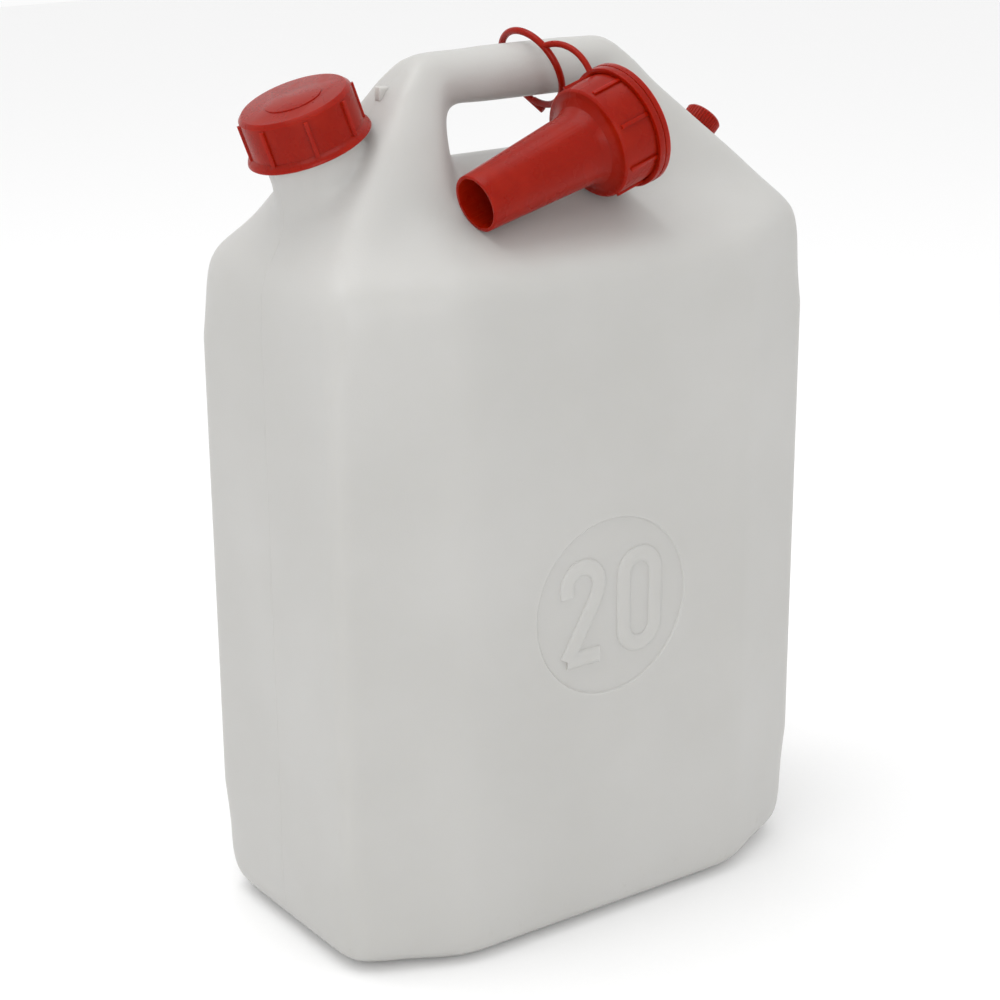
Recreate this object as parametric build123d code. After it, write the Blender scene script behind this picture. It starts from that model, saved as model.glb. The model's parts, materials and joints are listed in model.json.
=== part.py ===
from build123d import *
import os
from math import cos, sin, tan, radians

# Blow-moulded 20 litre jerry can with a screw cap, a stored pouring spout on a tether,
# and a vent screw. Millimetres, +Z up. The origin is the centre of the base, +X runs
# along the length towards the vent, and the neck is at the -X end.

# ---- tank: overall sizes -------------------------------------------------------------
LENGTH = 310.0            # over the two end faces
WIDTH = 188.0             # over the two broad panels
END_FACE_WIDTH = 134.0    # width of each flat end face
PANEL_LENGTH = 184.0      # length of each flat broad panel, between the slanted facets
SHOULDER_HEIGHT = 377.0   # top of the broad panels, where the low roof starts
WALL = 2.0                # blow-moulded wall

# ---- tank: edge rounding -------------------------------------------------------------
END_EDGE_R = 8.0          # upright edges of the end faces
PANEL_EDGE_R = 40.0       # upright edges of the broad panels
BASE_EDGE_R = 16.0        # edge round the base
SHOULDER_R = 20.0         # edge between walls and roof
FRONT_TOP_R = 24.0        # where the front roof face turns into the handle
REAR_TOP_R = 10.0
SADDLE_R = 18.0

# ---- tank: roof and handle; every rise is above SHOULDER_HEIGHT ------------------------
FRONT_SHOULDER_RISE = -5.0
REAR_SHOULDER_RISE = 8.0
FRONT_FACET_RISE = -3.0
REAR_FACET_RISE = 6.0
ROOF_SLOPE = 28.0         # low roof, from the broad panels
FACET_SLOPE = 33.0        # low roof, from the slanted facets
FRONT_SLOPE = 48.0        # roof face that carries the neck
REAR_SLOPE = 44.5         # roof face that carries the vent
SADDLE_RISE = 42.0        # flat saddle of the low roof, below the handle
HANDLE_R = 14.6           # handle tube
HANDLE_RISE = 85.0        # handle axis
GABLE_SLOPE = 62.0        # flanks below the two ends of the handle
GAP_FRONT_SETBACK = 112.0  # front end of the finger gap, behind the front face
GAP_REAR_SETBACK = 103.0   # its rear end, in front of the rear face, under the handle
GAP_RAMP_LENGTH = 38.0     # length of the floor that rises to the rear
GAP_RAMP_TOP = 6.0        # how far below the handle the rising floor ends
GAP_FLOOR_DROP = 0.5      # floor of the gap below the saddle
GAP_CORNER_R = 7.0
GAP_FLARE_FRONT = 0.45    # how far the gap widens per millimetre outwards
GAP_FLARE_REAR = 0.30
GAP_RAMP_FALL = 0.20      # fall of the end of the rising floor per millimetre outwards
GAP_FLOOR_EXTRA = 0.02    # how much more the floor falls outwards than the low roof
GAP_CORNER_GROWTH = 0.10  # growth of the corner radius per millimetre outwards
LUG_LENGTH = 9.0          # moulding lug in front of the handle, half of it in the slope
LUG_WIDTH = 5.0
LUG_HEIGHT = 7.2
LUG_SETBACK = 75.0        # behind the front face

# ---- neck, its thread, and the caps that fit it ---------------------------------------
NECK_TILT = 20.7          # neck axis leans towards -X
NECK_SETBACK = 24.8       # centre of the neck's rim, behind the front face
NECK_MOUTH_RISE = 79.1    # and its height above the shoulder
NECK_R = 25.2             # root of the thread
NECK_BORE_R = 22.0
NECK_FOOT_R = 36.0        # flare where the neck meets the roof
NECK_FOOT_DEPTH = 36.0    # start of the flare, below the rim
NECK_BASE_DEPTH = 72.0    # end of the flare, inside the body
NECK_EDGE = 0.6           # chamfer on the rim
THREAD_PITCH = 5.0
THREAD_DEPTH = 1.9
THREAD_TURNS = 2.2
THREAD_ROOT_WIDTH = 2.3
THREAD_CREST_WIDTH = 1.1
THREAD_RADIAL_GAP = 0.5   # neck thread crest to cap wall, and cap thread crest to neck
THREAD_START = 3.0        # first neck thread, below the rim
THREAD_SINK = 0.3         # how far a thread's root goes into its wall
SEAL_THICKNESS = 1.6
SEAL_EDGE_GAP = 0.3
SEAL_PLAY = 0.05          # between a seal and the cap that turns over it

# ---- screw cap -----------------------------------------------------------------------
CAP_WALL = 2.2
CAP_TOP = 2.3             # thickness of the top
CAP_HEIGHT = 25.4
CAP_EDGE_R = 2.0
FLANGE_PROUD = 3.2        # rim round the open end
FLANGE_HEIGHT = 3.0
RIB_COUNT = 8
RIB_WIDTH = 2.0
RIB_PROUD = 1.3
RIB_TOP_GAP = 3.0
CAP_BADGE_R = 15.0        # plain raised roundel on the top
CAP_BADGE_HEIGHT = 0.6

# ---- pouring spout, stored upside down beside the handle --------------------------------
SPOUT_SETBACK = 88.7      # centre of the open tip, behind the front face
SPOUT_OFFSET = 65.1       # and beside the middle plane
SPOUT_LIFT = 17.03        # and above the roof there
SPOUT_AZIMUTH = 3.0
SPOUT_PITCH = 16.6
SPOUT_TIP_R = 15.2
SPOUT_ROOT_R = 19.5
SPOUT_FLARE_R = 7.0
SPOUT_TUBE_LENGTH = 75.6
SPOUT_WALL = 1.8
COLLAR_LENGTH = 28.0
COLLAR_FRONT = 2.4        # thickness of the collar's front wall

# ---- tether --------------------------------------------------------------------------
TETHER_R = 1.9            # round strap
TETHER_LOOP_PLAY = 5.7    # between the handle and the loop
TETHER_LOOP_AHEAD = 81.7  # centre of the loop on the handle axis, ahead of the spout's tip
TETHER_LOOP_TILT = 23.7   # top of the loop leans towards -X
TETHER_LOOP_YAW = 5.0
TETHER_SPLIT = 0.8        # where the loop opens to go over the handle
TETHER_SPLIT_ANGLE = 114.0   # round the loop, from the side facing the spout
TETHER_TAIL_ANGLE = 130.0    # where the free end leaves the loop
TETHER_TAIL_LENGTH = 14.0
TETHER_ARM_ANGLE = 320.0     # where the arm leaves the loop
TETHER_RING_GAP = 0.4     # play of the ring on the spout's collar
TETHER_RING_WIDTH = 3.6
TETHER_RING_PROUD = 2.6
TETHER_LAND_ANGLE = 335.0    # where the arm meets the ring, round the spout axis
TETHER_ARM_BOW = 6.5         # rise of the arm above a straight line

# ---- vent ----------------------------------------------------------------------------
VENT_SETBACK = 29.3       # where the vent axis meets the rear roof face, before its end
VENT_BOSS_PROUD = 0.4     # boss beyond the cap
VENT_BOSS_HEIGHT = 3.5
VENT_SPIGOT_R = 6.2
VENT_BORE_R = 3.2
VENT_SPIGOT_HEIGHT = 8.4
VENT_CAP_WALL = 3.15
VENT_CAP_TOP = 2.2
VENT_CAP_GAP = 0.8        # below the cap, over the boss
VENT_SEAL_THICKNESS = 1.2
VENT_THREAD_PITCH = 3.0
VENT_THREAD_DEPTH = 0.9
VENT_THREAD_TURNS = 1.3
VENT_THREAD_GAP = 0.35
VENT_THREAD_START = 1.5
KNURL_COUNT = 36
KNURL_DEPTH = 0.5

# ---- capacity mark: raised digits in a shallow round field ---------------------------------
MARK_HEIGHT = 188.0       # centre of the mark above the base
MARK_R = 50.0             # round field, pressed in
MARK_DEPTH = 0.8
MARK_PROUD = 0.5          # digits above the panel
DIGIT_HEIGHT = 61.0
DIGIT_WIDTH = 30.0
DIGIT_STROKE = 9.0
DIGIT_PITCH = 38.0        # between the centres of the two digits

# ---- values that follow -------------------------------------------------------------------
SADDLE_Z = SHOULDER_HEIGHT + SADDLE_RISE
HANDLE_Z = SHOULDER_HEIGHT + HANDLE_RISE
TOP_Z = HANDLE_Z + HANDLE_R
ROOF_BASE_Z = SHOULDER_HEIGHT + SADDLE_RISE / 3
TAN_ROOF = tan(radians(ROOF_SLOPE))
FRONT_TOP_X = -LENGTH / 2 + (TOP_Z - SHOULDER_HEIGHT - FRONT_SHOULDER_RISE) / tan(radians(FRONT_SLOPE))
REAR_TOP_X = LENGTH / 2 - (TOP_Z - SHOULDER_HEIGHT - REAR_SHOULDER_RISE) / tan(radians(REAR_SLOPE))
THREAD_R = NECK_R + THREAD_DEPTH
CAP_BORE_R = THREAD_R + THREAD_RADIAL_GAP
CAP_R = CAP_BORE_R + CAP_WALL
FLANGE_R = CAP_R + FLANGE_PROUD
VENT_THREAD_R = VENT_SPIGOT_R + VENT_THREAD_DEPTH
VENT_CAP_BORE_R = VENT_THREAD_R + VENT_THREAD_GAP
VENT_CAP_R = VENT_CAP_BORE_R + VENT_CAP_WALL
VENT_BOSS_R = VENT_CAP_R + VENT_BOSS_PROUD
GAP_FRONT = GAP_FRONT_SETBACK - LENGTH / 2
GAP_REAR = LENGTH / 2 - GAP_REAR_SETBACK
GAP_RAMP = GAP_REAR - GAP_RAMP_LENGTH
NECK_MOUTH_X = NECK_SETBACK - LENGTH / 2
VENT_X = LENGTH / 2 - VENT_SETBACK
SPOUT_TIP = (SPOUT_SETBACK - LENGTH / 2, -SPOUT_OFFSET,
             SHOULDER_HEIGHT + (WIDTH / 2 - SPOUT_OFFSET) * TAN_ROOF + SPOUT_LIFT)
TETHER_LOOP_X = SPOUT_TIP[0] + TETHER_LOOP_AHEAD
TETHER_LOOP_R = HANDLE_R + TETHER_LOOP_PLAY + TETHER_R


# ---- placing ---------------------------------------------------------------------------
def axis_frame(origin, direction):
    """A frame at origin whose local Z runs along direction."""
    return Plane(origin=origin, z_dir=direction)


NECK_DIRECTION = (-sin(radians(NECK_TILT)), 0, cos(radians(NECK_TILT)))
NECK_FRAME = axis_frame((NECK_MOUTH_X, 0, SHOULDER_HEIGHT + NECK_MOUTH_RISE), NECK_DIRECTION)
VENT_DIRECTION = (sin(radians(REAR_SLOPE)), 0, cos(radians(REAR_SLOPE)))
VENT_Z = SHOULDER_HEIGHT + REAR_SHOULDER_RISE + (LENGTH / 2 - VENT_X) * tan(radians(REAR_SLOPE))
VENT_FRAME = axis_frame((VENT_X, 0, VENT_Z), VENT_DIRECTION)
SPOUT_DIRECTION = (
    cos(radians(SPOUT_PITCH)) * cos(radians(SPOUT_AZIMUTH)),
    cos(radians(SPOUT_PITCH)) * sin(radians(SPOUT_AZIMUTH)),
    sin(radians(SPOUT_PITCH)))
SPOUT_FRAME = axis_frame(SPOUT_TIP, SPOUT_DIRECTION)


def along(axis_x, axis_y, points):
    """Polygon face through (u, v) points, u along axis_x and v along axis_y."""
    plane = Plane(origin=(0, 0, 0), x_dir=axis_x, z_dir=Vector(axis_x).cross(Vector(axis_y)))
    return plane * make_face(Polyline(*points, close=True))


def turned(points):
    """Solid of revolution about local Z from (radius, z) points."""
    return revolve(along((1, 0, 0), (0, 0, 1), points), Axis.Z)


def drawn_in(face, inset):
    """The face with its outline moved inwards."""
    return offset(face, -inset, kind=Kind.INTERSECTION) if inset else face


# ---- threads -----------------------------------------------------------------------------
def thread(inner_r, outer_r, pitch, turns, z_start, outward):
    """Helical ridge from inner_r to outer_r; its crest is outside when outward."""
    root, crest = THREAD_ROOT_WIDTH, THREAD_CREST_WIDTH
    scale = pitch / THREAD_PITCH
    wide, thin = root * scale / 2, crest * scale / 2
    near, far = (wide, thin) if outward else (thin, wide)
    path = Helix(pitch=pitch, height=pitch * turns, radius=inner_r)
    start = Plane(origin=(inner_r, 0, 0), x_dir=(1, 0, 0), z_dir=(0, 1, 0))
    depth = outer_r - inner_r
    profile = start * make_face(Polyline(
        (0, -near), (depth, -far), (depth, far), (0, near), close=True))
    ridge = sweep(profile, path=path, is_frenet=True)
    return Pos(0, 0, z_start) * ridge


# ---- tank --------------------------------------------------------------------------------
def plan_face():
    """Octagonal plan: flat ends, flat panels and four slanted facets."""
    x_end, y_end = LENGTH / 2, END_FACE_WIDTH / 2
    x_panel, y_panel = PANEL_LENGTH / 2, WIDTH / 2
    face = make_face(Polyline(
        (x_end, -y_end), (x_end, y_end), (x_panel, y_panel), (-x_panel, y_panel),
        (-x_end, y_end), (-x_end, -y_end), (-x_panel, -y_panel), (x_panel, -y_panel), close=True))
    face = fillet(face.vertices().filter_by(lambda v: abs(v.X) > x_end - 1), END_EDGE_R)
    panel_corners = face.vertices().filter_by(lambda v: abs(abs(v.X) - x_panel) < 0.1)
    return fillet(panel_corners, PANEL_EDGE_R)


def roof_line(reach, left_top, right_top, slope, top):
    """The two corners of a flat top between slopes, or one peak where the slopes meet first."""
    left = (top - left_top) / slope - reach
    right = reach - (top - right_top) / slope
    if right - left > SADDLE_R * slope:
        return [(right, top), (left, top)]
    return [((right_top - left_top) / (2 * slope), (left_top + right_top) / 2 + slope * reach)]


def wall_profile(plane, left, right, left_top, right_top, crown, crown_r, inset):
    """Upright section: base, two walls up to their shoulders, and a roof line between them."""
    face = make_face(Polyline((left, 0), (right, 0), (right, right_top), *crown, (left, left_top),
                              close=True))
    face = fillet(face.vertices().filter_by(lambda v: v.Y < 1), BASE_EDGE_R)
    tops = (left_top, right_top)
    shoulders = face.vertices().filter_by(
        lambda v: min(abs(v.Y - top) for top in tops) < 0.1 and min(v.X - left, right - v.X) < 0.1)
    face = fillet(shoulders, SHOULDER_R)
    for (x, z), radius in zip(crown, crown_r):
        peak = face.vertices().filter_by(lambda v: abs(v.X - x) + abs(v.Y - z) < 0.1)
        face = fillet(peak, radius)
    return plane * drawn_in(face, inset)


SIDE_VIEW = Plane(origin=(0, 0, 0), x_dir=(1, 0, 0), z_dir=(0, -1, 0))
END_VIEW = Plane(origin=(0, 0, 0), x_dir=(0, 1, 0), z_dir=(1, 0, 0))


def end_profile(inset):
    """Side view: the front and rear roof faces, up to the top of the handle."""
    half = LENGTH / 2
    return wall_profile(
        SIDE_VIEW, -half, half, SHOULDER_HEIGHT + FRONT_SHOULDER_RISE,
        SHOULDER_HEIGHT + REAR_SHOULDER_RISE, [(REAR_TOP_X, TOP_Z), (FRONT_TOP_X, TOP_Z)],
        [REAR_TOP_R, FRONT_TOP_R], inset)


def low_profile(inset):
    """End view: gentle slopes from the broad panels up to the flat saddle."""
    half = WIDTH / 2
    crown = roof_line(half, SHOULDER_HEIGHT, SHOULDER_HEIGHT, TAN_ROOF, SADDLE_Z)
    return wall_profile(END_VIEW, -half, half, SHOULDER_HEIGHT, SHOULDER_HEIGHT, crown,
                        [SADDLE_R] * len(crown), inset)


def facet_profile(side, inset):
    """Section across a front facet and the rear facet opposite it, and the way they run."""
    run, rise = (LENGTH - PANEL_LENGTH) / 2, (WIDTH - END_FACE_WIDTH) / 2
    across = Vector(rise, side * run, 0).normalized()
    reach = LENGTH / 2 * across.X + END_FACE_WIDTH / 2 * abs(across.Y)
    front, rear = SHOULDER_HEIGHT + FRONT_FACET_RISE, SHOULDER_HEIGHT + REAR_FACET_RISE
    slope = tan(radians(FACET_SLOPE))
    run_along = Vector(0, 0, 1).cross(across)
    plane = Plane(origin=(0, 0, 0), x_dir=across, z_dir=across.cross(Vector(0, 0, 1)))
    crown = roof_line(reach, front, rear, slope, TOP_Z)
    section = wall_profile(
        plane, -reach, reach, front, rear, crown, [SADDLE_R] * len(crown), inset)
    return section, run_along


def gable_profile(inset):
    """End view of the pillars: steep flanks that run tangent into the handle tube."""
    slope = radians(GABLE_SLOPE)
    touch_y, touch_z = HANDLE_R * sin(slope), HANDLE_Z + HANDLE_R * cos(slope)
    foot_y = touch_y + (touch_z - ROOF_BASE_Z) / tan(slope)
    outline = Polyline((touch_y, touch_z), (foot_y, ROOF_BASE_Z), (-foot_y, ROOF_BASE_Z),
                       (-touch_y, touch_z))
    crown = ThreePointArc((touch_y, touch_z), (0, TOP_Z), (-touch_y, touch_z))
    return END_VIEW * drawn_in(make_face(Curve() + [outline, crown]), inset)


def through(face, axis, size):
    """The face pushed both ways along an axis."""
    return extrude(face, size, dir=axis, both=True)


def gap_section(y, grow):
    """The finger gap's outline at a distance y from the middle, widening outwards."""
    reach = abs(y)
    front = GAP_FRONT - GAP_FLARE_FRONT * reach - grow
    ramp = GAP_RAMP + GAP_FLARE_REAR * reach
    rear = GAP_REAR + GAP_FLARE_REAR * reach + grow
    floor = SADDLE_Z - GAP_FLOOR_DROP - (TAN_ROOF + GAP_FLOOR_EXTRA) * reach - grow
    ramp_end = HANDLE_Z - HANDLE_R - GAP_RAMP_TOP - GAP_RAMP_FALL * reach - grow
    top = TOP_Z + WALL
    outline = Polyline(
        (front, top), (front, floor), (ramp, floor), (rear, ramp_end), (rear, top), close=True)
    face = make_face(outline)
    soft = face.vertices().filter_by(lambda v: v.Y < ramp_end + 1)
    corner = GAP_CORNER_R + GAP_CORNER_GROWTH * reach - grow / 2
    return Plane(origin=(0, y, 0), x_dir=(1, 0, 0), z_dir=(0, -1, 0)) * fillet(soft, corner)


def gap_tool(grow):
    """Space under the handle, open to both broad sides."""
    reach = WIDTH / 2
    sides = [loft([gap_section(0, grow), gap_section(side * reach, grow)]) for side in (-1, 1)]
    return sides[0] + sides[1]


def low_body(inset):
    """Walls, base and low roof as one rounded solid, drawn inwards by inset."""
    solid = through(end_profile(inset), (0, 1, 0), WIDTH)
    solid &= through(low_profile(inset), (1, 0, 0), LENGTH)
    for side in (-1, 1):
        face, direction = facet_profile(side, inset)
        solid &= through(face, direction, LENGTH)
    return solid & through(drawn_in(plan_face(), inset), (0, 0, 1), 2 * TOP_Z)


def tank_form(inset):
    """The whole blown form: body, two pillars and the handle tube between them."""
    gable = through(gable_profile(inset), (1, 0, 0), LENGTH)
    gable &= through(end_profile(inset), (0, 1, 0), WIDTH)
    gable -= gap_tool(inset)
    length = GAP_REAR - GAP_FRONT + HANDLE_R
    middle = (GAP_REAR + GAP_FRONT) / 2
    tube = Pos(middle, 0, HANDLE_Z) * Rot(0, 90, 0) * Cylinder(HANDLE_R - inset, length)
    return low_body(inset) + gable + tube


def neck():
    """Neck with its foot and thread, in its own frame: rim at 0, body below."""
    tube = turned([(0, 0), (NECK_R - NECK_EDGE, 0), (NECK_R, -NECK_EDGE), (NECK_R, -NECK_FOOT_DEPTH),
                   (NECK_FOOT_R, -NECK_BASE_DEPTH), (0, -NECK_BASE_DEPTH)])
    ridge = thread(NECK_R - THREAD_SINK, THREAD_R, THREAD_PITCH, THREAD_TURNS,
                   -THREAD_START - THREAD_PITCH * THREAD_TURNS, True)
    return tube + ridge


def neck_hollow():
    """Bore of the neck, which widens in the foot."""
    low = WALL - NECK_BASE_DEPTH
    return turned([(0, 1), (NECK_BORE_R, 1), (NECK_BORE_R, -NECK_FOOT_DEPTH),
                   (NECK_FOOT_R - 2 * WALL, low), (0, low)])


def vent_spigot():
    """Boss and threaded spigot under the vent screw, in the vent's frame."""
    boss = turned([(0, -WALL), (VENT_BOSS_R, -WALL), (VENT_BOSS_R, VENT_BOSS_HEIGHT - 1),
                   (VENT_BOSS_R - 1, VENT_BOSS_HEIGHT), (0, VENT_BOSS_HEIGHT)])
    top = VENT_BOSS_HEIGHT + VENT_SPIGOT_HEIGHT
    spigot = Pos(0, 0, VENT_BOSS_HEIGHT) * Cylinder(
        VENT_SPIGOT_R, VENT_SPIGOT_HEIGHT, align=(Align.CENTER, Align.CENTER, Align.MIN))
    start = top - VENT_THREAD_START - VENT_THREAD_PITCH * VENT_THREAD_TURNS
    ridge = thread(VENT_SPIGOT_R - THREAD_SINK, VENT_THREAD_R, VENT_THREAD_PITCH, VENT_THREAD_TURNS,
                   start, True)
    return boss + spigot + ridge


def bore(radius, low, high):
    return Pos(0, 0, low) * Cylinder(radius, high - low, align=(Align.CENTER, Align.CENTER, Align.MIN))


def digit_outline(width, height):
    """Tall rounded outline of a condensed zero."""
    return SlotOverall(height, width, rotation=90)


def mark_panel():
    """Frame on the -Y panel at the centre of the mark, with local Z outwards."""
    return Plane(origin=(0, -WIDTH / 2, MARK_HEIGHT), x_dir=(1, 0, 0), z_dir=(0, -1, 0))


def mark_digits():
    """A condensed 20, from the floor of the round field to just above the panel."""
    zero = digit_outline(DIGIT_WIDTH, DIGIT_HEIGHT) - digit_outline(
        DIGIT_WIDTH - 2 * DIGIT_STROKE, DIGIT_HEIGHT - 2 * DIGIT_STROKE)
    half, top, base = DIGIT_WIDTH / 2, DIGIT_HEIGHT / 2, -DIGIT_HEIGHT / 2
    crown = Pos(0, top - half) * (Circle(half) - Circle(half - DIGIT_STROKE))
    crown -= Pos(0, top - 2 * half) * Rectangle(4 * half, 2 * half)
    lean = make_face(Polyline((half, top - half), (half - DIGIT_STROKE, top - half),
                              (-half, base + DIGIT_STROKE), (-half, base),
                              (DIGIT_STROKE * 1.1 - half, base), close=True))
    foot = Pos(0, base + DIGIT_STROKE / 2) * Rectangle(DIGIT_WIDTH, DIGIT_STROKE)
    two = crown + lean + foot
    face = Pos(DIGIT_PITCH / 2, 0) * zero + Pos(-DIGIT_PITCH / 2, 0) * two
    sunk = MARK_DEPTH + WALL / 4
    return mark_panel() * Pos(0, 0, -sunk) * extrude(face, sunk + MARK_PROUD)


def moulding_lug():
    """Small flat-topped lug on the middle line, between the neck and the handle."""
    x = LUG_SETBACK - LENGTH / 2
    z = SHOULDER_HEIGHT + FRONT_SHOULDER_RISE + LUG_SETBACK * tan(radians(FRONT_SLOPE))
    return Pos(x + LUG_LENGTH / 4, 0, z + LUG_LENGTH / 4) * Box(LUG_LENGTH, LUG_WIDTH, LUG_HEIGHT)


def tank():
    outer = tank_form(0) + NECK_FRAME * neck() + VENT_FRAME * vent_spigot()
    outer -= mark_panel() * bore(MARK_R, -MARK_DEPTH, WALL)
    outer += mark_digits() + moulding_lug()
    hollow = tank_form(WALL) + NECK_FRAME * neck_hollow()
    hollow += VENT_FRAME * bore(VENT_BORE_R, -3 * WALL, VENT_BOSS_HEIGHT + VENT_SPIGOT_HEIGHT + 1)
    return outer - hollow


# ---- caps ------------------------------------------------------------------------------------
def collar_wall(height, top):
    """Skirt shared by the cap and the spout's collar: open end at 0, top face at height."""
    shell = turned([
        (0, height), (CAP_R - CAP_EDGE_R, height), (CAP_R, height - CAP_EDGE_R),
        (CAP_R, FLANGE_HEIGHT + 1.2), (FLANGE_R - 0.6, FLANGE_HEIGHT - 0.8),
        (FLANGE_R, 0.6), (FLANGE_R - 0.6, 0), (0, 0)])
    shell -= bore(CAP_BORE_R, -1, height - top)
    rib_height = height - RIB_TOP_GAP - FLANGE_HEIGHT
    rib = Pos(CAP_R, 0, FLANGE_HEIGHT + rib_height / 2) * Box(2 * RIB_PROUD, RIB_WIDTH, rib_height)
    shell += [Rot(0, 0, (i + 0.5) * 360 / RIB_COUNT) * rib for i in range(RIB_COUNT)]
    return shell


def cap_thread(rim):
    """Thread inside a skirt whose neck rim sits at height rim above the open end."""
    lead = THREAD_PITCH / 2
    start = rim - THREAD_START - THREAD_PITCH * THREAD_TURNS - lead
    return thread(NECK_R + THREAD_RADIAL_GAP, CAP_BORE_R + THREAD_SINK, THREAD_PITCH, THREAD_TURNS,
                  start, False)


def screw_cap():
    """Cap in the neck's frame; the rim of the neck is at 0."""
    rim = CAP_HEIGHT - CAP_TOP - SEAL_THICKNESS
    cap = collar_wall(CAP_HEIGHT, CAP_TOP) + cap_thread(rim)
    cap += Pos(0, 0, CAP_HEIGHT - 0.1) * bore(CAP_BADGE_R, 0, CAP_BADGE_HEIGHT + 0.1)
    return NECK_FRAME * Pos(0, 0, -rim) * cap


def cap_seal():
    radius = CAP_BORE_R - SEAL_EDGE_GAP
    return NECK_FRAME * bore(radius, 0, SEAL_THICKNESS - SEAL_PLAY)


# ---- pouring spout -------------------------------------------------------------------------------
def pouring_spout():
    """Spout in its own frame: open tip at 0, collar's open end at the far end."""
    base = SPOUT_TUBE_LENGTH
    end = base + COLLAR_LENGTH
    groove = end - FLANGE_HEIGHT - TETHER_RING_WIDTH - 2 * TETHER_RING_GAP
    flare_r = SPOUT_ROOT_R + SPOUT_FLARE_R * 0.3
    tube = turned([
        (0, 0), (SPOUT_TIP_R, 0), (SPOUT_ROOT_R, base - SPOUT_FLARE_R), (flare_r, base - SPOUT_FLARE_R * 0.35),
        (SPOUT_ROOT_R + SPOUT_FLARE_R, base + 0.1), (0, base + 0.1)])
    collar = turned([
        (0, base), (CAP_R - CAP_EDGE_R / 2, base), (CAP_R, base + CAP_EDGE_R / 2),
        (CAP_R, end - FLANGE_HEIGHT), (FLANGE_R, end - FLANGE_HEIGHT), (FLANGE_R, end), (0, end)])
    rib_length = groove - base - RIB_TOP_GAP
    rib = Pos(CAP_R, 0, base + RIB_TOP_GAP + rib_length / 2) * Box(2 * RIB_PROUD, RIB_WIDTH, rib_length)
    body = tube + collar + [Rot(0, 0, (i + 0.5) * 360 / RIB_COUNT) * rib for i in range(RIB_COUNT)]
    inner = base + COLLAR_FRONT
    body -= turned([
        (0, -1), (SPOUT_TIP_R - SPOUT_WALL, -1), (SPOUT_TIP_R - SPOUT_WALL, 0),
        (SPOUT_ROOT_R - SPOUT_WALL, base - SPOUT_FLARE_R), (SPOUT_ROOT_R - SPOUT_WALL / 2, inner + 1),
        (0, inner + 1)])
    body -= bore(CAP_BORE_R, inner, end + 1)
    lead = THREAD_PITCH / 2
    body += thread(NECK_R + THREAD_RADIAL_GAP, CAP_BORE_R + THREAD_SINK, THREAD_PITCH, THREAD_TURNS,
                   inner + SEAL_THICKNESS + THREAD_START + lead, False)
    return SPOUT_FRAME * body


def spout_seal():
    start = SPOUT_TUBE_LENGTH + COLLAR_FRONT
    ring = bore(CAP_BORE_R - SEAL_EDGE_GAP, start, start + SEAL_THICKNESS)
    return SPOUT_FRAME * (ring - bore(NECK_BORE_R - 2, start - 1, start + SEAL_THICKNESS + 1))


# ---- tether ----------------------------------------------------------------------------------------
def tether():
    """One moulded strap: open loop round the handle, arm, and ring round the spout's collar."""
    tilt, yaw = radians(TETHER_LOOP_TILT), radians(TETHER_LOOP_YAW)
    normal = Vector(cos(tilt) * cos(yaw), cos(tilt) * sin(yaw), sin(tilt))
    loop_frame = Plane(origin=(TETHER_LOOP_X, 0, HANDLE_Z), x_dir=Vector(0, -1, 0), z_dir=normal)
    on_loop = Pos(TETHER_LOOP_R, 0, 0)
    loop = Torus(TETHER_LOOP_R, TETHER_R)
    loop -= Rot(0, 0, TETHER_SPLIT_ANGLE) * on_loop * Box(4 * TETHER_R, TETHER_SPLIT, 4 * TETHER_R)
    tail = Rot(90, 0, 0) * Cylinder(
        TETHER_R, TETHER_TAIL_LENGTH, align=(Align.CENTER, Align.CENTER, Align.MIN))
    loop += Rot(0, 0, TETHER_TAIL_ANGLE) * on_loop * tail
    start = SPOUT_TUBE_LENGTH + COLLAR_LENGTH - FLANGE_HEIGHT - TETHER_RING_GAP - TETHER_RING_WIDTH
    inner = CAP_R + TETHER_RING_GAP
    ring = bore(inner + TETHER_RING_PROUD, start, start + TETHER_RING_WIDTH)
    ring -= bore(inner, start - 1, start + TETHER_RING_WIDTH + 1)
    land = Rot(0, 0, TETHER_LAND_ANGLE) * Pos(inner + TETHER_R, 0, start + TETHER_RING_WIDTH / 2)
    a = (loop_frame * Rot(0, 0, TETHER_ARM_ANGLE) * on_loop).position
    b = (SPOUT_FRAME * land).position
    path = ThreePointArc(a, (a + b) / 2 + Vector(0, 0, TETHER_ARM_BOW), b)
    arm = sweep(Plane(origin=a, z_dir=path % 0) * Circle(TETHER_R * 0.9), path=path)
    return loop_frame * loop + SPOUT_FRAME * ring + arm


# ---- vent screw ------------------------------------------------------------------------------------
def vent_screw():
    """Knurled cap in the vent's frame."""
    low = VENT_BOSS_HEIGHT + VENT_CAP_GAP
    rim = VENT_BOSS_HEIGHT + VENT_SPIGOT_HEIGHT + VENT_SEAL_THICKNESS
    top = rim + VENT_CAP_TOP
    cap = turned([(0, low), (VENT_CAP_R, low), (VENT_CAP_R, top - 1.2), (VENT_CAP_R - 1.2, top),
                  (0, top + 0.5)])
    groove = Pos(VENT_CAP_R, 0, low) * Cylinder(
        KNURL_DEPTH, top - low, align=(Align.CENTER, Align.CENTER, Align.MIN))
    cap -= [Rot(0, 0, i * 360 / KNURL_COUNT) * groove for i in range(KNURL_COUNT)]
    cap -= bore(VENT_CAP_BORE_R, low - 1, rim)
    spigot_top = rim - VENT_SEAL_THICKNESS
    start = spigot_top - VENT_THREAD_START - VENT_THREAD_PITCH * (VENT_THREAD_TURNS + 0.5)
    cap += thread(VENT_SPIGOT_R + VENT_THREAD_GAP, VENT_CAP_BORE_R + THREAD_SINK, VENT_THREAD_PITCH,
                  VENT_THREAD_TURNS, start, False)
    return VENT_FRAME * cap


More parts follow.
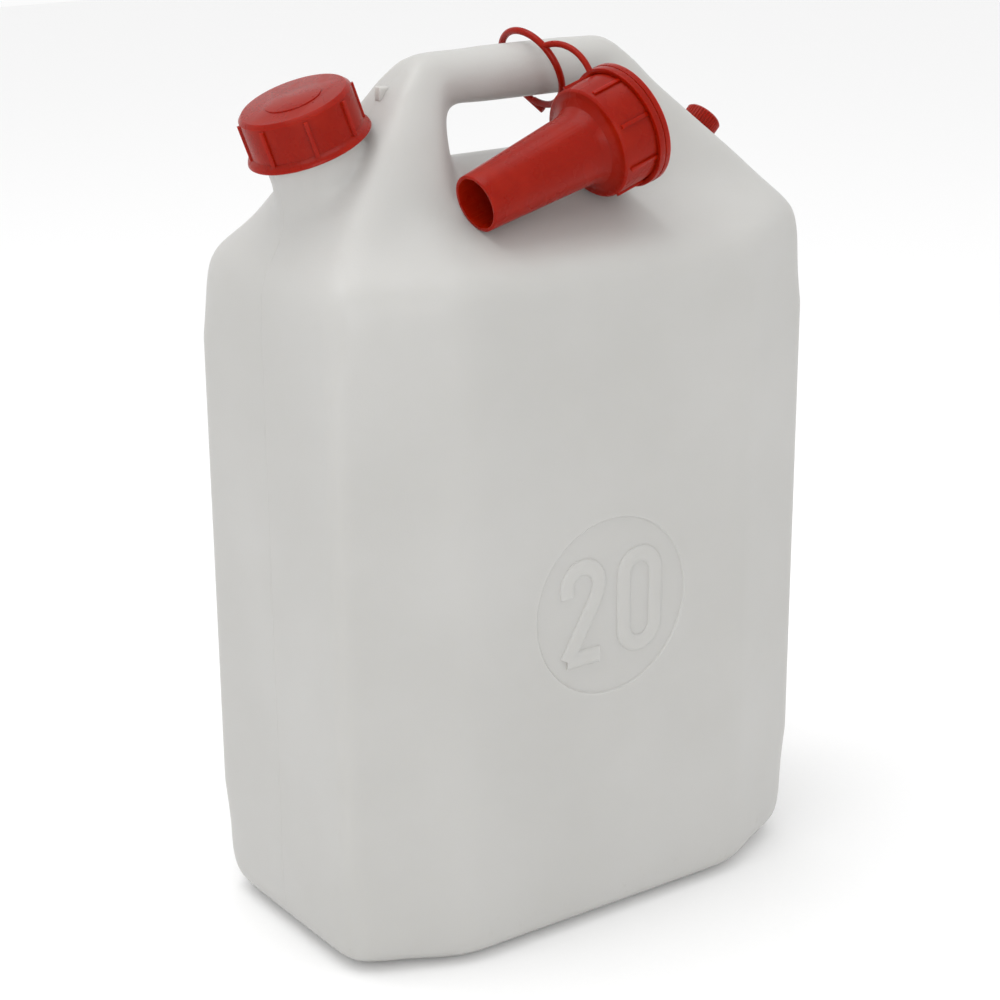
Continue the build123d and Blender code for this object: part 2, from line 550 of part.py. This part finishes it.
def vent_seal():
    start = VENT_BOSS_HEIGHT + VENT_SPIGOT_HEIGHT
    end = start + VENT_SEAL_THICKNESS - SEAL_PLAY
    return VENT_FRAME * bore(VENT_CAP_BORE_R - SEAL_EDGE_GAP, start, end)


PARTS = {
    "tank": tank, "screw_cap": screw_cap, "cap_seal": cap_seal, "pouring_spout": pouring_spout,
    "spout_seal": spout_seal, "tether": tether, "vent_screw": vent_screw, "vent_seal": vent_seal}

os.makedirs("parts", exist_ok=True)
for name, make in PARTS.items():
    solid = make()
    print(name, round(solid.volume), solid.is_valid, len(solid.solids()))
    export_step(solid, f"parts/{name}.step")
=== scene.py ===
# %% [markdown]
# # A blow-moulded jerry can
# The real can is one hollow moulding of milky plastic with five red closures on it. The frame that is
# loaded here already holds every piece at its true size and place, so this lesson is about what the
# frame can't have: soft moulded edges, raised digits, and plastics that look like plastic.

# %% Load the frame
import json
import math

import bpy
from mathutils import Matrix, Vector


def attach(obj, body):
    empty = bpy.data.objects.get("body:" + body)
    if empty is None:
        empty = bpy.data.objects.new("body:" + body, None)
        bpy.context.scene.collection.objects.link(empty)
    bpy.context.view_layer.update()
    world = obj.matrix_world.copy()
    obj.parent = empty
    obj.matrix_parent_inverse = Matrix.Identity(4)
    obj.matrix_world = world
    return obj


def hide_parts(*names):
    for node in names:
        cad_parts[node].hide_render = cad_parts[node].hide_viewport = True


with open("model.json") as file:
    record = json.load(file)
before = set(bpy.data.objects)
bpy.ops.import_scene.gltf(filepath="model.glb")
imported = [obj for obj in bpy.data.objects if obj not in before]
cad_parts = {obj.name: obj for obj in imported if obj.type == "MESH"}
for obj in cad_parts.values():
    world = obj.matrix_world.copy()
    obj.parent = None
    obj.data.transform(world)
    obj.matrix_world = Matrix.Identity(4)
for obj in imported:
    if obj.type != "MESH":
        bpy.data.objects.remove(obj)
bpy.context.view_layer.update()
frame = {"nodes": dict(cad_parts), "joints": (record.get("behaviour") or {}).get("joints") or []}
joints = {joint["name"]: joint for joint in frame["joints"]}

# %% [markdown]
# ## The view
# A long lens, a little above the shoulders of the can and a third of the way round from its broad
# side. A camera looks down its own -Z axis, so a vector from the eye to the target gives its turn.

# %% Camera
MM = 0.001
VIEW_TURN = math.radians(-35.07)
VIEW_RISE = math.radians(18.84)
VIEW_ROLL = math.radians(-0.38)
VIEW_TARGET = Vector((-7.0, 0.0, 223.3)) * MM
VIEW_DISTANCE = 1.3148

backwards = Vector((math.sin(VIEW_TURN) * math.cos(VIEW_RISE),
                    -math.cos(VIEW_TURN) * math.cos(VIEW_RISE),
                    math.sin(VIEW_RISE)))
bpy.ops.object.select_all(action="DESELECT")
bpy.ops.object.camera_add(location=VIEW_TARGET + backwards * VIEW_DISTANCE)
camera = bpy.context.object
camera.data.lens = 84.5
camera.data.sensor_width = 36.0
level = (-backwards).to_track_quat("-Z", "Y").to_matrix()
camera.rotation_euler = level.to_euler()
camera.rotation_euler.rotate_axis("Z", VIEW_ROLL)
bpy.context.scene.camera = camera
bpy.context.scene.view_settings.view_transform = "Standard"
print("camera at", [round(v, 3) for v in camera.location])

# %% [markdown]
# ## Floor and light
# Milky plastic has no strong colour of its own, so its shape is read from slow changes of light. One
# wide soft box above, a weaker one in front and a pale room keep the shadows soft. The roof is a little
# brighter than the walls, and the bevel beside the broad panel is the brightest of the walls.

# %% Floor and lights
bpy.ops.mesh.primitive_plane_add(size=8.0, location=(0, 0, 0))
floor = bpy.context.object
floor.name = "floor"


def soft_box(name, place, size, power):
    """A square area light that points at the middle of the can."""
    bpy.ops.object.light_add(type="AREA", location=place)
    light = bpy.context.object
    light.name = name
    light.data.size = size
    light.data.energy = power
    towards = Vector((0, 0, 0.22)) - Vector(place)
    light.rotation_euler = towards.to_track_quat("-Z", "Y").to_euler()
    return light


soft_box("light_top", (-0.5, 0.1, 2.0), 1.3, 13.0)
soft_box("light_front", (-1.15, -2.0, 0.8), 1.1, 11.0)
room = bpy.data.worlds.new("room")
room.use_nodes = True
room.node_tree.nodes["Background"].inputs["Color"].default_value = (1.0, 1.0, 1.0, 1.0)
room.node_tree.nodes["Background"].inputs["Strength"].default_value = 0.97
bpy.context.scene.world = room

# %% [markdown]
# ## Shader maths as Python
# A material is a graph of small nodes. Written out by hand it is long and hard to read, so two small
# classes stand between: `Signal` wraps one output and turns `+`, `-`, `*` and `/` into Math nodes, and
# `Recipe` adds any other node from its type, its settings and its inputs.

# %% Signal and Recipe
class Signal:
    """A number that varies over a surface; Python's operators add Math nodes to it."""

    def __init__(self, recipe, socket):
        self.recipe = recipe
        self.socket = socket

    def math(self, operation, *others, clamp=False):
        return self.recipe.node("ShaderNodeMath", {"operation": operation, "use_clamp": clamp},
                                dict(enumerate((self, *others))))

    def __add__(self, other):
        return self.math("ADD", other)

    def __radd__(self, other):
        return self.math("ADD", other)

    def __sub__(self, other):
        return self.math("SUBTRACT", other)

    def __rsub__(self, other):
        return self.recipe.node("ShaderNodeMath", {"operation": "SUBTRACT"}, {0: other, 1: self})

    def __mul__(self, other):
        return self.math("MULTIPLY", other)

    def __rmul__(self, other):
        return self.math("MULTIPLY", other)

    def __truediv__(self, other):
        return self.math("DIVIDE", other)

    def between(self, low, high):
        """0 below low, 1 above high, and a smooth rise from one to the other."""
        return self.recipe.node("ShaderNodeMapRange", {"interpolation_type": "SMOOTHSTEP"},
                                {"Value": self, "From Min": low, "From Max": high})


class Recipe:
    """One material with a Principled shader, and the nodes that feed it."""

    def __init__(self, name):
        self.material = bpy.data.materials.new(name)
        self.material.use_nodes = True
        self.tree = self.material.node_tree
        self.shader = self.tree.nodes["Principled BSDF"]
        self.place = self.node("ShaderNodeTexCoord", {}, {}, "Object")

    def node(self, kind, settings, inputs, output=0):
        made = self.tree.nodes.new(kind)
        for setting, value in settings.items():
            setattr(made, setting, value)
        for key, value in inputs.items():
            self.feed(made.inputs[key], value)
        return Signal(self, made.outputs[output])

    def feed(self, socket, value):
        if isinstance(value, Signal):
            self.tree.links.new(value.socket, socket)
        else:
            socket.default_value = value

    def set(self, **values):
        for name, value in values.items():
            self.feed(self.shader.inputs[name.replace("_", " ")], value)

    def noise(self, size, detail=2.0):
        """Soft noise with blobs of about this size in metres, from 0 to 1."""
        return self.node("ShaderNodeTexNoise", {}, {
            "Vector": self.place, "Scale": 1.0 / size, "Detail": detail, "Roughness": 0.5})

    def blend(self, factor, first, second):
        """The first colour where factor is 0, the second where it is 1."""
        return self.node("ShaderNodeMix", {"data_type": "RGBA"},
                         {"Factor": factor, "A": (*first, 1.0), "B": (*second, 1.0)}, "Result")

    def relief(self, height, depth):
        """Normal of a surface with this relief, in metres, where height is 1."""
        return self.node("ShaderNodeBump", {}, {"Height": height, "Distance": depth, "Strength": 1.0})

    def axis(self, name):
        """One coordinate of the surface, in metres."""
        return self.node("ShaderNodeSeparateXYZ", {}, {"Vector": self.place}, name)


# %% [markdown]
# ## Milky polyethylene
# Natural polyethylene lets light in for some millimetres and scatters it, so shadows fill and edges
# glow a little: that is subsurface scattering. The wall of a blown can is never quite even, so its
# whiteness wanders slowly. The mould was sand-blasted, which leaves a fine satin grain, and its two
# halves leave a hair-thin line round the middle.

# %% Tank plastic
def milky_plastic():
    plastic = Recipe("milky polyethylene")
    wander = plastic.noise(0.12, 3.0).between(0.3, 0.7)
    grain = plastic.noise(0.0011, 3.0)
    scuff = plastic.noise(0.006, 5.0).between(0.62, 0.74)
    low = 1 - plastic.axis("Z").between(0.004, 0.035)
    worn = low * scuff
    clean = plastic.blend(wander, (0.446, 0.441, 0.424), (0.472, 0.467, 0.452))
    colour = plastic.node("ShaderNodeMix", {"data_type": "RGBA"}, {
        "Factor": worn * 0.35, "A": clean, "B": (0.40, 0.39, 0.36, 1.0)}, "Result")
    across = plastic.axis("Y").math("ABSOLUTE")
    parting = 1 - across.between(0.0001, 0.0006)
    height = grain * 0.12 + parting * 0.5 + plastic.noise(0.03, 1.0) * 1.2
    plastic.set(Base_Color=colour, Roughness=0.40 + grain * 0.06 + worn * 0.15,
                Normal=plastic.relief(height, 0.0003))
    plastic.set(Subsurface_Weight=0.45, Subsurface_Radius=(1.0, 0.95, 0.85), Subsurface_Scale=0.012,
                IOR=1.5, Specular_IOR_Level=0.42)
    return plastic.material


TANK_PLASTIC = milky_plastic()

# %% [markdown]
# ## Red closure plastic
# Caps, spout and strap are injection moulded: solid colour, a smooth skin with a faint orange peel,
# and slightly duller patches where hands have rubbed it. The polish shows as a broad soft highlight.

# %% Red plastic
def red_plastic():
    plastic = Recipe("red closure plastic")
    peel = plastic.noise(0.0016, 2.0)
    rubbed = plastic.noise(0.014, 4.0).between(0.45, 0.75)
    colour = plastic.blend(rubbed, (0.240, 0.0060, 0.0005), (0.268, 0.0085, 0.0012))
    plastic.set(Base_Color=colour, Roughness=0.27 + rubbed * 0.12, Normal=plastic.relief(peel, 0.00004))
    plastic.set(Subsurface_Weight=0.45, Subsurface_Radius=(1.0, 0.12, 0.04), Subsurface_Scale=0.006,
                IOR=1.49, Specular_IOR_Level=0.14)
    return plastic.material


RED_PLASTIC = red_plastic()

# %% [markdown]
# ## Seal rubber
# Black rubber, dusted with the grey bloom that such seals get.

# %% Seal rubber
def seal_rubber():
    rubber = Recipe("black seal rubber")
    bloom = rubber.noise(0.004, 4.0).between(0.4, 0.8)
    rubber.set(Base_Color=rubber.blend(bloom, (0.016, 0.016, 0.017), (0.05, 0.05, 0.05)),
               Roughness=0.62 + bloom * 0.2, Normal=rubber.relief(rubber.noise(0.0008), 0.00003))
    return rubber.material


SEAL_RUBBER = seal_rubber()

# %% Floor finish
def floor_finish():
    paper = Recipe("pale paper")
    fibre = paper.noise(0.003, 3.0)
    paper.set(Base_Color=paper.blend(fibre, (0.92, 0.92, 0.92), (0.94, 0.94, 0.94)), Roughness=0.85)
    return paper.material


floor.data.materials.append(floor_finish())

# %% [markdown]
# ## Working by hand, in code
# These helpers are the mouse clicks of the lesson: select one object, copy a node of the frame and
# merge its loose triangles, add a round bar along an axis, and cut or join with it.

# %% Helpers
def only(piece):
    """Selects one piece and makes it the active one."""
    bpy.ops.object.select_all(action="DESELECT")
    piece.select_set(True)
    bpy.context.view_layer.objects.active = piece


def in_edit_mode(piece, work):
    """Runs work with the whole piece selected in edit mode."""
    only(piece)
    bpy.ops.object.mode_set(mode="EDIT")
    bpy.ops.mesh.select_all(action="SELECT")
    work()
    bpy.ops.object.mode_set(mode="OBJECT")


def copy_of(node, name):
    """A merged copy of a frame node, with its own mesh."""
    mesh = frame["nodes"][node].data.copy()
    mesh.materials.clear()
    piece = bpy.data.objects.new(name, mesh)
    bpy.context.scene.collection.objects.link(piece)
    in_edit_mode(piece, lambda: bpy.ops.mesh.remove_doubles(threshold=0.000002))
    bpy.ops.mesh.customdata_custom_splitnormals_clear()
    return piece


def bar(origin, axis, low, high, radius, sides=128):
    """A round bar on an axis, from low to high along it."""
    middle = origin + axis * (low + high) / 2
    bpy.ops.mesh.primitive_cylinder_add(vertices=sides, radius=radius, depth=high - low, location=middle,
                                        rotation=axis.to_track_quat("Z", "Y").to_euler())
    made = bpy.context.object
    bpy.ops.object.transform_apply(location=True, rotation=True, scale=True)
    return made


def finish_with(piece, kind, **settings):
    """Adds one modifier, sets it and applies it."""
    only(piece)
    step = piece.modifiers.new("step", kind)
    for setting, value in settings.items():
        setattr(step, setting, value)
    bpy.ops.object.modifier_apply(modifier=step.name)


def combine(piece, tool, operation):
    """A boolean with a tool, which is used up."""
    finish_with(piece, "BOOLEAN", operation=operation, object=tool, solver="EXACT")
    bpy.data.objects.remove(tool)


def join(pieces, name):
    """Joins pieces into the first one."""
    bpy.ops.object.select_all(action="DESELECT")
    for piece in pieces:
        piece.select_set(True)
    bpy.context.view_layer.objects.active = pieces[0]
    bpy.ops.object.join()
    pieces[0].name = name
    return pieces[0]


def faces(piece):
    return len(piece.data.polygons)


# %% [markdown]
# ## The blown body
# A blown wall can't have a sharp crease: the hot tube of plastic bridges every corner of the mould.
# The frame's tank has the right planes but crisp creases where they meet. So a copy is plugged at
# its two openings, its inner skin is dropped, and the outer skin is rebuilt from small even squares
# (a voxel remesh) that a Smooth modifier can relax. How much each point relaxes is painted in a
# vertex group: a lot on the roof, little on the walls' upright edges, and least on the handle tube,
# which would get thinner.

# %% Axes of the neck and the vent
def joint_axis(name):
    return Vector(joints[name]["pos_m"]), Vector(joints[name]["axis"]).normalized()


NECK, NECK_AXIS = joint_axis("cap_turn")
VENT, VENT_AXIS = joint_axis("vent_turn")
HANDLE_AXIS_Z = joints["tether_swing"]["pos_m"][2]
PANEL_Y = -0.094
MARK = Vector((0.0, PANEL_Y, 0.188))
MARK_RADIUS = 0.050
MARK_DEPTH = 0.0008
OUTWARDS = Vector((0, -1, 0))
NECK_CUT = -0.019

# %% The crisp neck and vent spigot
neck_top = copy_of("tank", "neck_top")
combine(neck_top, bar(NECK, NECK_AXIS, NECK_CUT - 0.001, 0.004, 0.032), "INTERSECT")
vent_top = copy_of("tank", "vent_top")
combine(vent_top, bar(VENT, VENT_AXIS, 0.0, 0.02, 0.0115), "INTERSECT")
print("neck", faces(neck_top), "vent", faces(vent_top))

# %% The outer skin
skin = copy_of("tank", "tank_skin")
combine(skin, bar(NECK, NECK_AXIS, -0.055, -0.0004, 0.0236), "UNION")
combine(skin, bar(VENT, VENT_AXIS, -0.006, 0.010, 0.005), "UNION")
combine(skin, bar(MARK, OUTWARDS, -0.0015, -0.00001, MARK_RADIUS + 0.001), "UNION")
combine(skin, bar(MARK, OUTWARDS, 0.0, 0.004, MARK_RADIUS + 0.002), "DIFFERENCE")
combine(skin, bar(VENT, VENT_AXIS, 0.00005, 0.02, 0.0125), "DIFFERENCE")
only(skin)
bpy.ops.mesh.separate(type="LOOSE")
shells = sorted(bpy.context.selected_objects, key=lambda piece: -piece.dimensions.length)
skin = shells[0]
for inner in shells[1:]:
    bpy.data.objects.remove(inner)
print("skin", faces(skin), [round(v, 4) for v in skin.dimensions])

# %% Even squares, then relaxed
VOXEL = 0.0025
finish_with(skin, "REMESH", mode="VOXEL", voxel_size=VOXEL, use_smooth_shade=True)


def step(value, low, high):
    """0 below low, 1 above high, smooth between."""
    t = min(max((value - low) / (high - low), 0.0), 1.0)
    return t * t * (3 - 2 * t)


def softness(point):
    """How much the plastic bridges its creases at this point."""
    roof = step(point.z, 0.345, 0.370)
    walls = 0.30
    off_axis = math.hypot(point.y, point.z - HANDLE_AXIS_Z)
    on_tube = (1 - step(off_axis, 0.016, 0.022)) * step(point.x, -0.032, -0.014)
    on_tube *= 1 - step(point.x, 0.034, 0.052)
    neck_way = (point - NECK).dot(NECK_AXIS)
    off_neck = ((point - NECK) - NECK_AXIS * neck_way).length
    on_neck = step(neck_way, -0.045, -0.030) * (1 - step(off_neck, 0.027, 0.034))
    return (walls + (1 - walls) * roof) * (1 - 0.85 * on_tube) * (1 - 0.9 * on_neck)


def corner(point):
    """1 on the shoulders and the base edge, where the blown corners are roundest."""
    shoulder = step(point.z, 0.325, 0.355) * (1 - step(point.z, 0.392, 0.410))
    outside = max(step(abs(point.x), 0.105, 0.130), 0.45 * step(abs(point.y), 0.066, 0.080))
    base = 1 - step(point.z, 0.035, 0.070)
    return max(shoulder * outside, base * (0.35 + 0.65 * step(abs(point.x), 0.100, 0.125)))


def pillars(point):
    """1 on the arrises of the two pillars, which flow into the roof without a line."""
    high = step(point.z, 0.378, 0.396) * (1 - step(point.z, 0.448, 0.464))
    front = 1 - step(point.x, -0.042, -0.026)
    rear = step(point.x, 0.066, 0.080)
    neck_way = (point - NECK).dot(NECK_AXIS)
    off_neck = ((point - NECK) - NECK_AXIS * neck_way).length
    return high * max(front, rear) * step(off_neck, 0.026, 0.036)


def relax(piece, amount, times):
    """Smooths each point by its own amount."""
    group = piece.vertex_groups.new(name="relax")
    for vertex in piece.data.vertices:
        group.add([vertex.index], amount(vertex.co), "REPLACE")
    finish_with(piece, "SMOOTH", factor=0.5, iterations=times, vertex_group=group.name)
    piece.vertex_groups.clear()


relax(skin, softness, 34)
relax(skin, corner, 150)
relax(skin, pillars, 90)
print("relaxed", faces(skin), [round(v, 4) for v in skin.dimensions])

# %% [markdown]
# ## The moulding lug
# Between the neck and the handle stands a small flat-topped lug on the parting line. It is crisp on
# the real can, so it is added after the relaxing: a block with bevelled edges, sunk into the slope.

# %% Lug
LUG_SIZE = Vector((0.0090, 0.0050, 0.0072))
LUG_PLACE = Vector((-0.07775, 0.0, 0.45755))
bpy.ops.mesh.primitive_cube_add(size=1.0, location=LUG_PLACE, scale=LUG_SIZE)
lug = bpy.context.object
bpy.ops.object.transform_apply(location=True, rotation=True, scale=True)
in_edit_mode(lug, lambda: bpy.ops.mesh.bevel(offset=0.0007, segments=3, affect="EDGES"))
combine(skin, lug, "UNION")

# %% [markdown]
# ## Openings and the round field for the mark
# The neck's relaxed top is cut off and the crisp one with its thread takes its place. A bore is sunk
# through it, and a shallow round field is cut into the broad panel.

# %% Cut the openings and the field
combine(skin, bar(NECK, NECK_AXIS, NECK_CUT, 0.02, 0.034), "DIFFERENCE")
combine(skin, bar(NECK, NECK_AXIS, -0.140, 0.02, 0.022), "DIFFERENCE")
RIM_SLOPE = 0.0009
bpy.ops.mesh.primitive_cone_add(vertices=192, radius1=MARK_RADIUS - RIM_SLOPE, depth=2 * MARK_DEPTH,
                                radius2=MARK_RADIUS + RIM_SLOPE, location=MARK,
                                rotation=(math.pi / 2, 0, 0))
field = bpy.context.object
bpy.ops.object.transform_apply(location=True, rotation=True, scale=True)
combine(skin, field, "DIFFERENCE")
print("cut", faces(skin))

# %% [markdown]
# ## The raised digits
# The mark is a condensed 20 with pillowed strokes. Each digit starts as a ring of points, shaped by
# moving, deleting and extruding points. Turned into a curve it gets a round section, and flattened
# against the panel that section is the low soft ridge of a blown figure.

# %% Digit strokes
DIGIT_REACH = 0.0107
DIGIT_RISE = 0.0150
STROKE_RADIUS = 0.0047
FLATNESS = 0.28


def ring_at(x, z):
    bpy.ops.mesh.primitive_circle_add(vertices=48, radius=DIGIT_REACH, rotation=(math.pi / 2, 0, 0),
                                      location=(x, PANEL_Y + MARK_DEPTH, z))
    ring = bpy.context.object
    bpy.ops.object.transform_apply(location=True, rotation=True, scale=True)
    return ring


def pick(piece, test):
    """Selects the points that pass a test, in edit mode."""
    bpy.ops.object.mode_set(mode="EDIT")
    bpy.ops.mesh.select_mode(type="VERT")
    bpy.ops.mesh.select_all(action="DESELECT")
    bpy.ops.object.mode_set(mode="OBJECT")
    for vertex in piece.data.vertices:
        vertex.select = test(vertex.co)
    bpy.ops.object.mode_set(mode="EDIT")


def move(x, z):
    bpy.ops.transform.translate(value=(x, 0, z))


def pull_out(x, z):
    bpy.ops.mesh.extrude_region_move(TRANSFORM_OT_translate={"value": (x, 0, z)})


def fatten(piece):
    """Gives a line of points its round section, flattened against the panel."""
    bpy.ops.object.mode_set(mode="OBJECT")
    only(piece)
    bpy.ops.object.convert(target="CURVE")
    piece.data.bevel_depth = STROKE_RADIUS
    piece.data.bevel_resolution = 6
    piece.data.use_fill_caps = True
    bpy.ops.object.convert(target="MESH")
    floor_y = PANEL_Y + MARK_DEPTH
    for vertex in piece.data.vertices:
        vertex.co.y = floor_y + (vertex.co.y - floor_y) * FLATNESS
    return piece


# %% The zero
zero_x, mark_z = 0.019, MARK.z
zero = ring_at(zero_x, mark_z)
pick(zero, lambda co: co.z > mark_z + 0.0001)
move(0, DIGIT_RISE)
pick(zero, lambda co: co.z < mark_z - 0.0001)
move(0, -DIGIT_RISE)
fatten(zero)

# %% The two
two_x = -0.019
bend = mark_z + DIGIT_RISE
two = ring_at(two_x, bend)
pick(two, lambda co: co.z < bend - 0.0001)
bpy.ops.mesh.delete(type="VERT")
pick(two, lambda co: co.x < two_x - DIGIT_REACH * 0.999)
pull_out(0.0002, -0.0045)
pick(two, lambda co: co.x > two_x + DIGIT_REACH * 0.999)
pull_out(-0.0008, -0.0045)
pull_out(-0.0024, -0.0055)
pull_out(-0.0182, -0.0307)
fatten(two)
foot = ring_at(two_x, mark_z - DIGIT_RISE - DIGIT_REACH)
pick(foot, lambda co: abs(co.z - mark_z + DIGIT_RISE + DIGIT_REACH) > 0.0001)
bpy.ops.mesh.delete(type="VERT")
pick(foot, lambda co: True)
bpy.ops.mesh.edge_face_add()
fatten(foot)

# %% Join the tank
for digit in (zero, two, foot):
    combine(skin, digit, "UNION")
tank = join([skin, neck_top, vent_top], "tank_moulding")
tank.data.materials.clear()
tank.data.materials.append(TANK_PLASTIC)
only(tank)
bpy.ops.object.shade_smooth_by_angle(angle=math.radians(38))
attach(tank, "can")
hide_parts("tank")
print("tank", faces(tank))

# %% [markdown]
# ## The red closures
# An injection mould leaves a small radius on every edge, and that radius is what catches the light.
# Each closure is a merged copy of its frame node: coplanar triangles are dissolved back into the
# faces they came from, and a Bevel modifier rounds the edges that are really edges.

# %% Rounded copies
def rounded(node, name, body, radius):
    piece = copy_of(node, name)
    in_edit_mode(piece, lambda: bpy.ops.mesh.dissolve_limited(angle_limit=math.radians(0.4)))
    finish_with(piece, "BEVEL", width=radius, segments=2, limit_method="ANGLE",
                angle_limit=math.radians(32), use_clamp_overlap=True, harden_normals=False)
    only(piece)
    bpy.ops.object.shade_smooth_by_angle(angle=math.radians(32))
    piece.data.materials.append(RED_PLASTIC)
    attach(piece, body)
    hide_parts(node)
    print(name, faces(piece))
    return piece


rounded("screw_cap", "neck_cap", "cap", 0.0004)
rounded("pouring_spout", "spout", "spout", 0.0004)
rounded("vent_screw", "vent_knob", "vent", 0.0002)
rounded("tether", "strap", "strap", 0.0003)

# %% Seals
for node in ("cap_seal", "spout_seal", "vent_seal"):
    seal = frame["nodes"][node]
    seal.data.materials.clear()
    seal.data.materials.append(SEAL_RUBBER)
